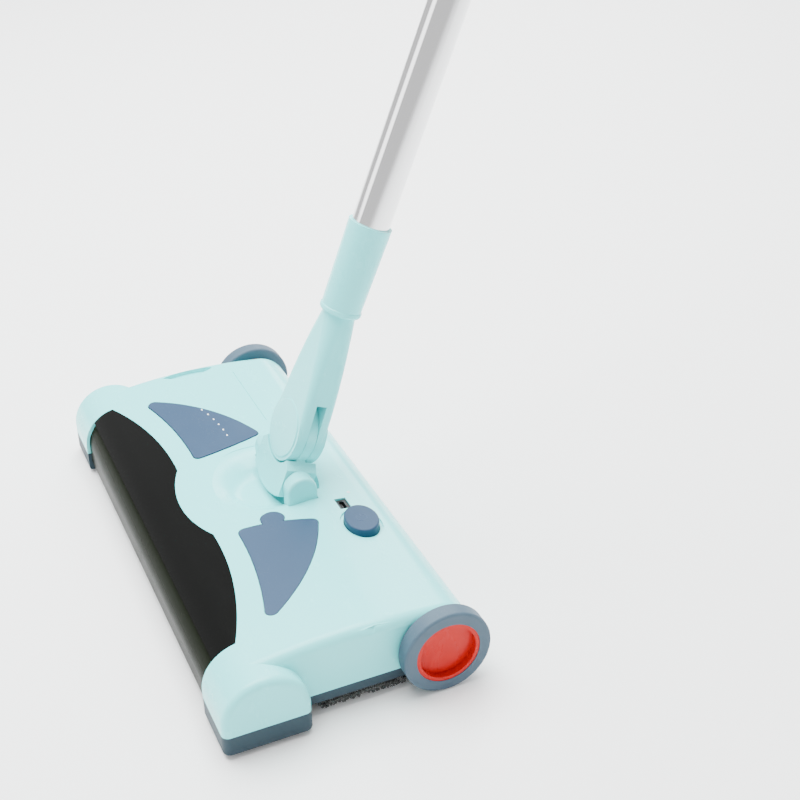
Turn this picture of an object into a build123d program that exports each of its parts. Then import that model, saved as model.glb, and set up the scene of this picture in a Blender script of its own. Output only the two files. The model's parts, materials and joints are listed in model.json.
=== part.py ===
from build123d import *
import math
import os

# Cordless carpet sweeper. Millimetres; X across the head, front at -Y, +Z up.
# The origin is on the floor under the middle of the head, on the mop pad's face.

# ---- driving dimensions -------------------------------------------------
HEAD_HALF_WIDTH = 160.0     # outer faces of the end caps and the tyres
SIDE_HALF_WIDTH = HEAD_HALF_WIDTH - 11.0   # side walls of the housing
WALL = 2.2                  # moulded wall
CLEAR = 0.4                 # gap round pieces that lift, press or slide
FIT = 0.05                  # radial running clearance of a pin in its bore

AXLE_Y, WHEEL_R = 48.0, 25.0
TAIL_R = WHEEL_R - 4.5      # the housing's round tail, about the wheel axle
NOSE_Y, NOSE_Z, NOSE_R = -52.0, 20.0, 24.0
DECK_R = 360.0              # crown of the deck, fore and aft
SPLIT_Z = 14.7              # parting line of upper shell and base
BASE_Z = 9.0                # underside of the base
CAP_FOOT_Z = 2.2            # underside of the front corners
CAP_IN_X = HEAD_HALF_WIDTH - 34.0           # inner end of the end caps

WHEEL_W = 10.0
HUB_R = 18.2
AXLE_R = 2.5

ROLLER_R = NOSE_R - 4.8         # over the bristle tips
CORE_R = 9.0
ROLLER_HALF = CAP_IN_X - 7.0
PANEL_T = 1.8
VISOR_R = 22.0
VISOR_T = 1.4
PANEL_EDGE_DEG = 135.0      # where the dark panel ends, round the nose

PIVOT_Y, PIVOT_Z = 17.8, 54.0   # lower pivot of the swivel
LEAN = 22.4                 # handle leans back this far at rest
LINK = 25.6                 # lower pivot to upper pivot
PIN_R = 2.6
EAR_R, EAR_HALF = 19.4, 9.2
BOSS_R, BOSS_T = 17.6, 1.5
BOSS_SEAT = EAR_HALF - 0.8  # floor of the shallow seat under each boss cap
SLOT_HALF = 3.2
KNUCKLE_IN_R, KNUCKLE_R = EAR_R + 1.4, 40.5
KNUCKLE_HALF_DEG = 50.0
KNUCKLE_HALF_Y = 9.6
POST_HALF_Y, POST_IN_X, POST_T = 9.0, 21.0, 9.0
POCKET_R = math.hypot(KNUCKLE_R - LINK, KNUCKLE_HALF_Y) + 0.7   # sweep of the knuckle
BOWL_Y, BOWL_R, BOWL_DEEP = 5.0, 38.0, 8.0
BOWL_RIM_R, BOWL_FLOOR_R = 30.0, 12.0
BRIDGE_T = 3.0

NECK_TOP = 84.0             # neck end, from the upper pivot
NECK_TOP_R = 9.6
COLLAR_Z, COLLAR_L = 76.8, 54.0
TUBE_R, TUBE_T = 10.9, 0.5
COLLAR_R, COLLAR_LOW_R, COLLAR_BEAD_R = TUBE_R + 1.7, TUBE_R + 0.8, TUBE_R + 1.4
TUBE_Z, TUBE_L = 92.0, 470.0
INNER_R, INNER_T, INNER_L = TUBE_R - 1.5, 0.8, TUBE_L + 20.0
DRAW = 285.0                # travel of the inner tube, pushed home at rest
OVERLAP = 60.0 + DRAW       # inner tube inside the outer one at rest
TUBE_BUSH_L = 18.0
LOCK_L, LOCK_R = 46.0, TUBE_R + 2.7
GRIP_L, GRIP_R = 128.0, INNER_R + 5.6
GRIP_OVER = 12.0            # grip past the end of the inner tube
PLUG_R = INNER_R - 1.4
LOOP_R, LOOP_HOLE_R, LOOP_T = 13.0, 7.0, 9.0

PAD_HALF_X, PAD_Y0, PAD_Y1, PAD_T = SIDE_HALF_WIDTH - 2.5, -20.0, 30.0, 5.0
HOOK_T = 1.4
DRAWER_X1, DRAWER_Y0, DRAWER_Y1 = CAP_IN_X - 14.0, -25.0, 22.0
DRAWER_Z1, DRAWER_WALL, DOOR_Z1 = 29.0, 1.6, 33.6

BELT_X, BELT_W, BELT_T = CAP_IN_X + 7.0, 5.0, 1.2
BELT_GAP = 0.3              # belt to pulley rim
PULLEY_R, MOTOR_PULLEY_R = 9.0, 5.5
PULLEY_TEETH, MOTOR_TEETH = 18, 11
PULLEY_HALF = BELT_W / 2 + 0.5
MOTOR_Y, MOTOR_Z, MOTOR_R = 42.0, 27.0, 11.5
MOTOR_X0, MOTOR_X1, MOTOR_WALL = CAP_IN_X - 46.0, CAP_IN_X, 1.6
ARMATURE_R, MOTOR_SHAFT_R = 8.4, 1.6
ROLLER_Z = NOSE_Z
ROLLER_SHAFT_R, BUSH_R = 3.0, 6.0
TUFT_R, TUFT_ROWS, TUFT_COUNT = 2.0, 4, 25
TUFT_ROOT_R = 6.5
TUFT_TURN = 0.9             # degrees of helix per millimetre, mirrored at the middle

SCREW_X, SCREW_Y = (1.0 - CAP_IN_X, -80.0, -20.0, 40.0), AXLE_Y + 6.0
SCREW_R, SCREW_HEAD_R, SCREW_HEAD_T, SCREW_TIP_Z = 1.5, 3.0, 1.2, 24.0
BOSS_IN_X = SIDE_HALF_WIDTH - 9.0   # inner end of the axle bosses
FLOOR_Z = BASE_Z + 2.4      # inside floor of the base
PANEL_EDGE_Z = NOSE_Z + NOSE_R * math.sin(math.radians(PANEL_EDGE_DEG))
LIP_Y0, LIP_Y1, LIP_Z1 = NOSE_Y - 20.5, NOSE_Y - 18.2, BASE_Z + 3.0
GUARD_Z0 = BASE_Z - 0.4

FOOT_X, FOOT_Y = CAP_IN_X + 17.0, NOSE_Y + 4   # front glide rollers
FOOT_R, FOOT_W = 6.0, 8.0
GLIDE_Z = FOOT_R + 0.3
GLIDE_PIN_R = 1.5

SEAT = WALL + 2.4           # thickness of deck under a panel pocket
PANEL_DEEP = 2.0            # depth of a panel pocket
FIN_ROUND = 4.0             # corner radius of the fin-shaped panels
SIDE_ROUND = 5.5            # rounding where the deck meets the sides
CAP_ROUND = 4.0
SCOOP_HALF_Y, SCOOP_IN_X, SCOOP_OUT_X, SCOOP_DEEP = 17.0, SIDE_HALF_WIDTH - 12.5, SIDE_HALF_WIDTH - 3.4, 3.0
THUMB_X, THUMB_Y, THUMB_R = 38.8, -4.6, 7.2

BUTTON_X, BUTTON_Y, BUTTON_L, BUTTON_W = 62.0, 40.6, 26.0, 19.0
PRESS = 1.2                 # travel of the power button
BUTTON_TOP_Z, BUTTON_LOW_Z = 50.6, 41.2
SWITCH_TOP_Z = BUTTON_LOW_Z - PRESS - 0.2
PORT_X0, PORT_X1, PORT_Y0, PORT_Y1 = 34.6, 45.4, 34.6, 41.4
LED_X, LED_Y, LED_R = 30.0, 45.5, 1.0
DOT_R, DOT_COUNT, DOT_PITCH = 0.9, 6, 7.2
DOT_X, DOT_Y, DOT_BOW = -55.6, -0.2, 0.004
STATUS_PROUD = 0.6
BOARD_Z, BOARD_T = 39.0, 1.6

os.makedirs("parts", exist_ok=True)
NODES = {}


def keep(name, shape):
    """Files one named piece."""
    NODES[name] = shape


def cyl_x(x0, x1, y, z, r):
    """Cylinder along X from x0 to x1."""
    return Pos((x0 + x1) / 2, y, z) * Rot(0, 90, 0) * Cylinder(r, abs(x1 - x0))


def ring_x(x0, x1, y, z, r_out, r_in):
    return cyl_x(x0, x1, y, z, r_out) - cyl_x(x0 - 1, x1 + 1, y, z, r_in)


def block(x0, x1, y0, y1, z0, z1):
    """Box between two corners."""
    return Pos((x0 + x1) / 2, (y0 + y1) / 2, (z0 + z1) / 2) * Box(x1 - x0, y1 - y0, z1 - z0)


def prism_x(face, x0, x1):
    """Extrudes a face drawn in (Y, Z) between two X planes."""
    return extrude(Plane.YZ.offset(x0) * face, x1 - x0)


def mirror_x(shape):
    return mirror(shape, Plane.YZ)


# ---- housing profile ----------------------------------------------------
def deck_centre():
    """Centre of the deck's crown arc, which rolls into the nose and the tail."""
    a = DECK_R - TAIL_R
    b = DECK_R - NOSE_R
    dy, dz = NOSE_Y - AXLE_Y, NOSE_Z - WHEEL_R
    d = math.hypot(dy, dz)
    along = (a * a - b * b + d * d) / (2 * d)
    off = math.sqrt(a * a - along * along)
    uy, uz = dy / d, dz / d
    y = AXLE_Y + along * uy + off * (-uz)
    z = WHEEL_R + along * uz + off * uy
    return y, z


DECK_Y, DECK_Z = deck_centre()


def on_circle(cy, cz, r, deg):
    t = math.radians(deg)
    return cy + r * math.cos(t), cz + r * math.sin(t)


def heading(cy, cz):
    """Angle from the deck arc's centre through another arc's centre."""
    return math.degrees(math.atan2(cz - DECK_Z, cy - DECK_Y))


def deck_z(y, inset=0.0):
    """Height of the deck at y."""
    r = DECK_R - inset
    return DECK_Z + math.sqrt(r * r - (y - DECK_Y) ** 2)


def side_profile(inset, low_z, front_y=None):
    """The housing in side view, closed along z = low_z: nose arc, deck arc, tail arc."""
    nose_deg = heading(NOSE_Y, NOSE_Z)
    tail_deg = heading(AXLE_Y, WHEEL_R)
    nose_r, tail_r = NOSE_R - inset, TAIL_R - inset
    front = on_circle(NOSE_Y, NOSE_Z, nose_r, 180)
    nose_top = on_circle(NOSE_Y, NOSE_Z, nose_r, nose_deg)
    tail_top = on_circle(AXLE_Y, WHEEL_R, tail_r, tail_deg)
    low_deg = -math.degrees(math.asin(min(1, (WHEEL_R - low_z) / tail_r)))
    tail_low = on_circle(AXLE_Y, WHEEL_R, tail_r, low_deg)
    crown = on_circle(DECK_Y, DECK_Z, DECK_R - inset, (nose_deg + tail_deg) / 2)
    edges = [
        Line((front[0], low_z), front),
        ThreePointArc(front, on_circle(NOSE_Y, NOSE_Z, nose_r, (180 + nose_deg) / 2), nose_top),
        ThreePointArc(nose_top, crown, tail_top),
        ThreePointArc(tail_top, on_circle(AXLE_Y, WHEEL_R, tail_r, (tail_deg + low_deg) / 2), tail_low),
        Line(tail_low, (front[0], low_z)),
    ]
    return make_face(Wire(edges))


def cap_profile(inset, low_z):
    """End cap in side view: a half round on short straight flanks."""
    r = NOSE_R - inset
    left, right, top = (NOSE_Y - r, NOSE_Z), (NOSE_Y + r, NOSE_Z), (NOSE_Y, NOSE_Z + r)
    edges = [
        Line((left[0], low_z), left),
        ThreePointArc(left, top, right),
        Line(right, (right[0], low_z)),
        Line((right[0], low_z), (left[0], low_z)),
    ]
    return make_face(Wire(edges))


# ---- plan outlines ------------------------------------------------------
def frame_outline():
    """Edge of the deck over the roller: two long arcs and a centre lobe, closed ahead of the nose."""
    cusp, corner, lobe = (35.5, -38.7), (CAP_IN_X, -56.0), (0.0, -47.4)
    mid = (83.0, -42.4)
    flip = lambda p: (-p[0], p[1])
    far_y = NOSE_Y - NOSE_R - 10
    edges = [
        ThreePointArc(flip(corner), flip(mid), flip(cusp)),
        ThreePointArc(flip(cusp), lobe, cusp),
        ThreePointArc(cusp, mid, corner),
        Line(corner, (corner[0], far_y)),
        Line((corner[0], far_y), (-corner[0], far_y)),
        Line((-corner[0], far_y), flip(corner)),
    ]
    return make_face(Wire(edges))


def fin_outline(inset=0.0):
    """The fin-shaped deck panel, right-hand side."""
    inner_front, inner_rear, tip = (39.2, -26.6), (49.4, 19.4), (122.5, -38.5)
    edges = [
        ThreePointArc(inner_rear, (42.4, -3.0), inner_front),
        ThreePointArc(inner_front, (84.0, -29.4), tip),
        ThreePointArc(tip, (91.0, -2.8), inner_rear),
    ]
    face = make_face(Wire(edges))
    if inset < 0:
        return offset(face, -inset)
    if inset:
        face = offset(face, -inset, kind=Kind.INTERSECTION)
    return fillet(face.vertices(), max(FIN_ROUND - inset, 0.6))


def thumb_outline(grow=0.0):
    """Half-moon finger notch on the inner edge of the right fin."""
    return Pos(THUMB_X, THUMB_Y) * Circle(THUMB_R + grow)


def slab(face, z0, z1):
    """Extrudes a plan outline between two heights."""
    return extrude(Pos(0, 0, z0) * face, z1 - z0)


def deck_layer(top, bottom):
    """Material between two depths below the deck surface."""
    x = SIDE_HALF_WIDTH - 5
    low = BASE_Z
    return prism_x(side_profile(top, low), -x, x) - prism_x(side_profile(bottom, low), -x - 1, x + 1)


def bowl(drop=0.0):
    """Soft-rimmed round hollow in the deck: a convex rim arc runs into a concave floor arc."""
    top = deck_z(BOWL_Y) - 0.3 - drop
    turn = math.acos(1 - BOWL_DEEP / (BOWL_RIM_R + BOWL_FLOOR_R))

    def rim(a):
        return BOWL_R - BOWL_RIM_R * math.sin(a), top - BOWL_RIM_R * (1 - math.cos(a))

    floor_x = BOWL_R - (BOWL_RIM_R + BOWL_FLOOR_R) * math.sin(turn)

    def floor(a):
        return floor_x + BOWL_FLOOR_R * math.sin(a), top - BOWL_DEEP + BOWL_FLOOR_R * (1 - math.cos(a))

    edges = [
        Line((0, top + 12), (BOWL_R, top + 12)),
        Line((BOWL_R, top + 12), rim(0)),
        ThreePointArc(rim(0), rim(turn / 2), rim(turn)),
        ThreePointArc(rim(turn), floor(turn / 2), floor(0)),
        Line(floor(0), (0, top - BOWL_DEEP)),
        Line((0, top - BOWL_DEEP), (0, top + 12)),
    ]
    section = Plane.XZ * make_face(Wire(edges))
    return Pos(0, BOWL_Y, 0) * revolve(section, Axis.Z)


def pocket(grow=0.0):
    """Barrel-shaped trough under the lower pivot, the space the knuckle swings through."""
    half = POST_IN_X + grow
    low = math.sqrt(KNUCKLE_R ** 2 - POST_IN_X ** 2) - LINK
    end_r = math.hypot(low, KNUCKLE_HALF_Y) + 1.4 + grow
    edges = [
        Line((-half, 0), (-half, end_r)),
        ThreePointArc((-half, end_r), (0, POCKET_R + grow), (half, end_r)),
        Line((half, end_r), (half, 0)),
        Line((half, 0), (-half, 0)),
    ]
    barrel = revolve(make_face(Wire(edges)), Axis.X)
    return Pos(0, PIVOT_Y, PIVOT_Z) * barrel


def oval(grow=0.0):
    return Pos(BUTTON_X, BUTTON_Y) * Ellipse(BUTTON_L / 2 + grow, BUTTON_W / 2 + grow)


# ---- neck frame ---------------------------------------------------------
def lean_dir():
    t = math.radians(LEAN)
    return (0, math.sin(t), math.cos(t))


UP = lean_dir()
ELBOW = (0, PIVOT_Y + LINK * UP[1], PIVOT_Z + LINK * UP[2])
# local x across, local y towards the back, local z up the handle
NECK = Plane(origin=ELBOW, x_dir=(1, 0, 0), z_dir=UP).location


def cyl_y(x, z, r, y0, y1):
    """Cylinder along the neck frame's y."""
    return Pos(x, (y0 + y1) / 2, z) * Rot(90, 0, 0) * Cylinder(r, abs(y1 - y0))


def up_tube(z0, z1, r_out, r_in=0.0):
    """Tube or rod along the neck frame's z."""
    t = Pos(0, 0, (z0 + z1) / 2) * Cylinder(r_out, z1 - z0)
    return t - Pos(0, 0, (z0 + z1) / 2) * Cylinder(r_in, z1 - z0 + 2) if r_in else t


# ---- housing ------------------------------------------------------------
def posts(grow=0.0, soft=0.0):
    """The two round-topped swivel posts."""
    y0, y1 = PIVOT_Y - POST_HALF_Y - grow, PIVOT_Y + POST_HALF_Y + grow
    low = PIVOT_Z - POCKET_R - WALL - BRIDGE_T
    one = block(POST_IN_X - grow, POST_IN_X + POST_T + grow, y0, y1, low, PIVOT_Z)
    one += cyl_x(POST_IN_X - grow, POST_IN_X + POST_T + grow, PIVOT_Y, PIVOT_Z, POST_HALF_Y + grow)
    if soft:
        face = one.faces().sort_by(Axis.X)[-1]
        one = fillet([e for e in face.edges() if e.center().Z > low + 1], soft)
    return one + mirror_x(one)


def scoop(grow=0.0):
    """Lens-shaped finger recess along the left shoulder."""
    x_end = (SCOOP_IN_X + 2 * SCOOP_OUT_X) / 3
    front, rear = (-x_end, -SCOOP_HALF_Y), (-x_end, SCOOP_HALF_Y)
    lens = make_face(Wire([
        ThreePointArc(front, (-SCOOP_IN_X, 0), rear),
        ThreePointArc(rear, (-SCOOP_OUT_X, 0), front),
    ]))
    if grow:
        lens = offset(lens, grow)
    return slab(lens, deck_z(0) - SCOOP_DEEP - grow, deck_z(0) + 10)


def upper_shell():
    body = prism_x(side_profile(0, SPLIT_Z), -SIDE_HALF_WIDTH, SIDE_HALF_WIDTH)
    ends = body.faces().filter_by(Axis.X)
    rim = [e for f in ends for e in f.edges() if e.center().Z > SPLIT_Z + 0.5]
    body = fillet(rim, SIDE_ROUND)
    cap = prism_x(cap_profile(0, SPLIT_Z), CAP_IN_X - 8, HEAD_HALF_WIDTH)
    outer = cap.faces().sort_by(Axis.X)[-1]
    cap = fillet([e for e in outer.edges() if e.center().Z > SPLIT_Z + 0.5], CAP_ROUND)
    body += cap + mirror_x(cap)
    hollow_x = SIDE_HALF_WIDTH - WALL
    hollow = prism_x(side_profile(WALL, SPLIT_Z - 1), -hollow_x, hollow_x)
    cap_hollow = prism_x(cap_profile(WALL, SPLIT_Z - 1), CAP_IN_X - 9, HEAD_HALF_WIDTH - WALL)
    hollow += cap_hollow + mirror_x(cap_hollow)
    # partition between the roller bay and each cap
    bay_wall = block(CAP_IN_X, CAP_IN_X + WALL, NOSE_Y - NOSE_R, NOSE_Y + NOSE_R - 0.5, SPLIT_Z, NOSE_Z + NOSE_R)
    bay_wall -= cyl_x(CAP_IN_X - 1, CAP_IN_X + WALL + 1, NOSE_Y, ROLLER_Z, BUSH_R)
    hollow -= bay_wall + mirror_x(bay_wall)
    # skin behind the finger scoop, the axle bosses and the screw bosses
    hollow -= scoop(WALL)
    for side in (-1, 1):
        hollow -= cyl_x(side * BOSS_IN_X, side * SIDE_HALF_WIDTH, AXLE_Y, WHEEL_R, 5.5)
    for x in SCREW_X:
        hollow -= Pos(x, SCREW_Y, 30) * Cylinder(3.6, 60)
    # thicker skin under the pockets, and the bowl's and the trough's own skins
    fin = fin_outline()
    fins = slab(fin, 20, 60) + slab(mirror(fin, Plane.YZ), 20, 60)
    fat = fin_outline(-2.5)
    fats = slab(fat, 20, 60) + slab(mirror(fat, Plane.YZ), 20, 60)
    hollow -= fats & deck_layer(0, SEAT)
    hollow -= bowl(WALL) + pocket(WALL)
    body -= hollow
    body -= bowl() + pocket()
    body -= fins & deck_layer(-2, PANEL_DEEP)
    body -= slab(thumb_outline(), 20, 60) & deck_layer(-2, PANEL_DEEP)
    body -= slab(frame_outline(), SPLIT_Z - 2, 60)
    # ledge that carries the dark panel
    ledge = slab(frame_outline() - offset(frame_outline(), -3.0), PANEL_EDGE_Z + 2, 60)
    body += ledge & deck_layer(PANEL_T, PANEL_T + 1.5)
    # battery bay under the right-hand panel, button well and charging port
    body -= slab(fin_outline(4.0), 20, 60) & deck_layer(0, SEAT + 1)
    body -= slab(oval(CLEAR), 20, 60)
    body -= slab(oval(2.2), 20, 60) & deck_layer(-2, 1.0)
    body -= block(PORT_X0, PORT_X1, PORT_Y0, PORT_Y1, 30, 60)
    body -= posts(0.15)
    # drawer opening and finger scoop in the left side
    body -= block(-HEAD_HALF_WIDTH, -hollow_x + 1, DRAWER_Y0, DRAWER_Y1, SPLIT_Z - 1, DOOR_Z1 + CLEAR)
    body -= scoop()
    # bores for the stub axles and the screws
    for side in (-1, 1):
        body -= cyl_x(side * (BOSS_IN_X - 1), side * (SIDE_HALF_WIDTH + 1), AXLE_Y, WHEEL_R, AXLE_R)
    for x in SCREW_X:
        body -= Pos(x, SCREW_Y, SCREW_TIP_Z / 2) * Cylinder(SCREW_R, SCREW_TIP_Z)
    body = body.cut(*dots(0))
    body -= Pos(LED_X, LED_Y, 44) * Cylinder(LED_R, 20)
    # panel line on the left of the tail
    groove_z = deck_z(28) - 0.6
    body -= block(-131, -64, 27.7, 28.3, groove_z, groove_z + 3)
    return body


def end_bumper(side):
    """Rubber-toned foot of an end cap, part of the base."""
    foot = block(CAP_IN_X, HEAD_HALF_WIDTH, NOSE_Y - NOSE_R, NOSE_Y + NOSE_R, CAP_FOOT_Z, SPLIT_Z)
    upright = foot.edges().filter_by(Axis.Z).sort_by(Axis.X)[-2:]
    foot = fillet(upright, 4.0)
    foot = fillet(foot.faces().sort_by(Axis.Z)[0].edges().sort_by(Axis.X)[1:], 2.0)
    return foot if side > 0 else mirror_x(foot)


def base_tray():
    y0, y1 = NOSE_Y + NOSE_R, AXLE_Y
    x = SIDE_HALF_WIDTH
    floor = block(-x, x, y0, y1, BASE_Z, SPLIT_Z)
    tail = prism_x(side_profile(0, BASE_Z), -x, x) & block(-x, x, y1, y1 + 40, BASE_Z, SPLIT_Z)
    body = floor + tail
    inner = prism_x(side_profile(WALL, BASE_Z), -x + WALL, x - WALL)
    body -= inner & block(-x, x, y0 + WALL, y1 + 40, FLOOR_Z, SPLIT_Z + 1)
    body += end_bumper(1) + end_bumper(-1)
    # bar behind the guard, and the wall behind the roller
    body += block(-CAP_IN_X, CAP_IN_X, LIP_Y0 + 0.1, LIP_Y1, BASE_Z, LIP_Z1)
    body += block(-CAP_IN_X, CAP_IN_X, y0 - 3, y0, PAD_T, SPLIT_Z)
    # open pockets in the feet, for the belt and the glide rollers
    inside = block(CAP_IN_X + WALL, HEAD_HALF_WIDTH - WALL, NOSE_Y - NOSE_R + WALL, NOSE_Y + NOSE_R - WALL,
                   CAP_FOOT_Z + WALL, SPLIT_Z + 1)
    body -= inside + mirror_x(inside)
    well = block(FOOT_X - FOOT_W / 2 - 0.6, FOOT_X + FOOT_W / 2 + 0.6, FOOT_Y - FOOT_R - 1, FOOT_Y + FOOT_R + 1,
                 0, CAP_FOOT_Z + WALL + 1)
    body -= well + mirror_x(well)
    pass_y = NOSE_Y + NOSE_R
    body -= block(BELT_X - BELT_W, BELT_X + BELT_W, pass_y - 8, pass_y + WALL + 1, FLOOR_Z, SPLIT_Z + 1)
    for side in (-1, 1):
        for off in (-FOOT_W / 2 - 1.7, FOOT_W / 2 + 1.7):
            x_ear = side * FOOT_X + off
            body += block(x_ear - 1, x_ear + 1, FOOT_Y - 4, FOOT_Y + 4, CAP_FOOT_Z + WALL - 0.5, 11.5)
            body -= cyl_x(x_ear - 1.1, x_ear + 1.1, FOOT_Y, GLIDE_Z, GLIDE_PIN_R + FIT)
    # drawer opening in the left side wall
    body -= block(-x - 1, -x + WALL + 1, DRAWER_Y0, DRAWER_Y1, FLOOR_Z, SPLIT_Z + 1)
    for side in (-1, 1):
        body -= cyl_x(side * (CAP_IN_X - 1), side * (CAP_IN_X + WALL + 1), NOSE_Y, ROLLER_Z, BUSH_R)
    for x_screw in SCREW_X:
        body += Pos(x_screw, SCREW_Y, (FLOOR_Z + SPLIT_Z) / 2) * Cylinder(4.5, SPLIT_Z - FLOOR_Z)
        body -= Pos(x_screw, SCREW_Y, 0) * Cylinder(SCREW_HEAD_R, 2 * (BASE_Z + SCREW_HEAD_T))
        body -= Pos(x_screw, SCREW_Y, 0) * Cylinder(SCREW_R, 2 * (SPLIT_Z + 1))
    return body


# ---- drive --------------------------------------------------------------
def toothed_x(x0, x1, y, z, r, count, depth=0.7):
    """Timing pulley: round grooves across its rim."""
    wheel = cyl_x(x0, x1, y, z, r)
    for i in range(count):
        gy, gz = on_circle(y, z, r, 360 * i / count)
        wheel -= cyl_x(x0 - 1, x1 + 1, gy, gz, depth)
    return wheel


def belt_loop(grow):
    """Outline round both pulleys in (Y, Z), grown by grow."""
    r0, r1 = PULLEY_R + grow, MOTOR_PULLEY_R + grow
    return make_hull(
        [*(Pos(NOSE_Y, ROLLER_Z) * Circle(r0)).edges(), *(Pos(MOTOR_Y, MOTOR_Z) * Circle(r1)).edges()]
    )


def roller_tufts():
    """Chevron rows of bristle tufts."""
    span = 2 * (ROLLER_HALF - 6)
    tuft = Pos(0, 0, (TUFT_ROOT_R + ROLLER_R) / 2) * Cylinder(TUFT_R, ROLLER_R - TUFT_ROOT_R)
    tufts = []
    for row in range(TUFT_ROWS):
        for i in range(TUFT_COUNT):
            x = span * (i / (TUFT_COUNT - 1) - 0.5)
            turn = 360 * row / TUFT_ROWS + abs(x) * TUFT_TURN
            tufts.append(Pos(x, NOSE_Y, ROLLER_Z) * Rot(turn, 0, 0) * tuft)
    return tufts


def brush_parts():
    tufts = roller_tufts()
    core = cyl_x(-ROLLER_HALF, ROLLER_HALF, NOSE_Y, ROLLER_Z, CORE_R)
    core = core.cut(*tufts)
    shaft = cyl_x(-CAP_IN_X - WALL - 1, BELT_X + BELT_W / 2 + 2, NOSE_Y, ROLLER_Z, ROLLER_SHAFT_R)
    core -= shaft
    keep("brush_shaft", shaft)
    keep("brush_core", core)
    keep("brush_bristles", Compound(children=tufts))
    x0, x1 = BELT_X - PULLEY_HALF, BELT_X + PULLEY_HALF
    pulley = toothed_x(x0, x1, NOSE_Y, ROLLER_Z, PULLEY_R, PULLEY_TEETH)
    keep("brush_pulley", pulley - cyl_x(0, 200, NOSE_Y, ROLLER_Z, ROLLER_SHAFT_R))
    bush = ring_x(CAP_IN_X - 2, CAP_IN_X + WALL, NOSE_Y, ROLLER_Z, BUSH_R, ROLLER_SHAFT_R + FIT)
    keep("roller_bush_right", bush)
    keep("roller_bush_left", mirror_x(bush))


def drive_parts():
    can = cyl_x(MOTOR_X0, MOTOR_X1, MOTOR_Y, MOTOR_Z, MOTOR_R)
    can = chamfer(can.edges().filter_by(GeomType.CIRCLE), 0.8)
    can -= cyl_x(MOTOR_X0 + MOTOR_WALL, MOTOR_X1 - MOTOR_WALL, MOTOR_Y, MOTOR_Z, MOTOR_R - MOTOR_WALL)
    can += ring_x(MOTOR_X0 - 2, MOTOR_X0 + MOTOR_WALL, MOTOR_Y, MOTOR_Z, 4, 1)
    can -= cyl_x(MOTOR_X0 - 1, MOTOR_X1 + 1, MOTOR_Y, MOTOR_Z, MOTOR_SHAFT_R + FIT)
    keep("drive_motor", can)
    shaft = cyl_x(MOTOR_X0 - CLEAR, BELT_X + PULLEY_HALF + 1, MOTOR_Y, MOTOR_Z, MOTOR_SHAFT_R)
    ends = MOTOR_WALL + 4
    keep("motor_armature", shaft + cyl_x(MOTOR_X0 + ends, MOTOR_X1 - ends, MOTOR_Y, MOTOR_Z, ARMATURE_R))
    x0, x1 = BELT_X - PULLEY_HALF, BELT_X + PULLEY_HALF
    pulley = toothed_x(x0, x1, MOTOR_Y, MOTOR_Z, MOTOR_PULLEY_R, MOTOR_TEETH)
    keep("motor_pulley", pulley - cyl_x(x0 - 1, x1 + 1, MOTOR_Y, MOTOR_Z, MOTOR_SHAFT_R))
    loop = belt_loop(BELT_GAP + BELT_T) - belt_loop(BELT_GAP)
    keep("drive_belt", prism_x(loop, BELT_X - BELT_W / 2, BELT_X + BELT_W / 2))
    x0, x1 = MOTOR_X0 + 16, MOTOR_X0 + 28
    clamp = cyl_x(x0, x1, MOTOR_Y, MOTOR_Z, MOTOR_R + 2)
    clamp += block(x0, x1, MOTOR_Y - 10, MOTOR_Y + 10, FLOOR_Z, MOTOR_Z)
    keep("motor_clamp", clamp - cyl_x(x0 - 1, x1 + 1, MOTOR_Y, MOTOR_Z, MOTOR_R))


# ---- panels, controls, drawer ------------------------------------------
def front_parts():
    outline = offset(frame_outline(), -0.2)
    keep("brush_window", slab(outline, PANEL_EDGE_Z, 60) & deck_layer(0, PANEL_T))
    outer = block(-CAP_IN_X + 0.3, CAP_IN_X - 0.3, NOSE_Y - NOSE_R, NOSE_Y, GUARD_Z0, PANEL_EDGE_Z + 1.5)
    r0, r1 = VISOR_R - VISOR_T, VISOR_R
    tall = 2 * NOSE_R
    drum = prism_x(visor_section(r1, tall), -CAP_IN_X, CAP_IN_X)
    drum -= prism_x(visor_section(r0, tall), -CAP_IN_X - 1, CAP_IN_X + 1)
    keep("front_guard", drum & outer)


def visor_section(r, tall):
    """Quarter round with a straight skirt below."""
    return (Pos(NOSE_Y, NOSE_Z) * Circle(r)) + Pos(NOSE_Y, NOSE_Z - tall / 2) * Rectangle(2 * r, tall)


def dots(grow):
    """The row of indicator pins, bowed like the panel's rear edge."""
    pins = []
    for i in range(DOT_COUNT):
        x = DOT_X - i * DOT_PITCH
        y = DOT_Y - DOT_BOW * (x - DOT_X) ** 2
        top = deck_z(y) + STATUS_PROUD
        pins.append(Pos(x, y, (top + BOARD_Z) / 2) * Cylinder(DOT_R + grow, top - BOARD_Z))
    return pins


def panel_parts():
    left = mirror(fin_outline(CLEAR), Plane.YZ)
    panel = slab(left, 20, 60) & deck_layer(-STATUS_PROUD, PANEL_DEEP)
    keep("status_panel", panel.cut(*dots(0)))
    keep("status_lights", Compound(children=dots(0)))
    lid = slab(fin_outline(CLEAR) + thumb_outline(-CLEAR), 20, 60) & deck_layer(0, PANEL_DEEP)
    keep("battery_cover", lid)
    pack = block(50, 88, -22, -4, DRAWER_Z1 + 1.5, 42.5)
    keep("battery_pack", fillet(pack.edges().filter_by(Axis.X), 5.5))
    board = block(-106, -46, -22, 14, BOARD_Z - BOARD_T, BOARD_Z)
    chips = block(-84, -72, -17, -8, BOARD_Z, BOARD_Z + 1.6) + block(-62, -52, -16, -8, BOARD_Z, BOARD_Z + 2.4)
    keep("circuit_board", board + chips)


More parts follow.
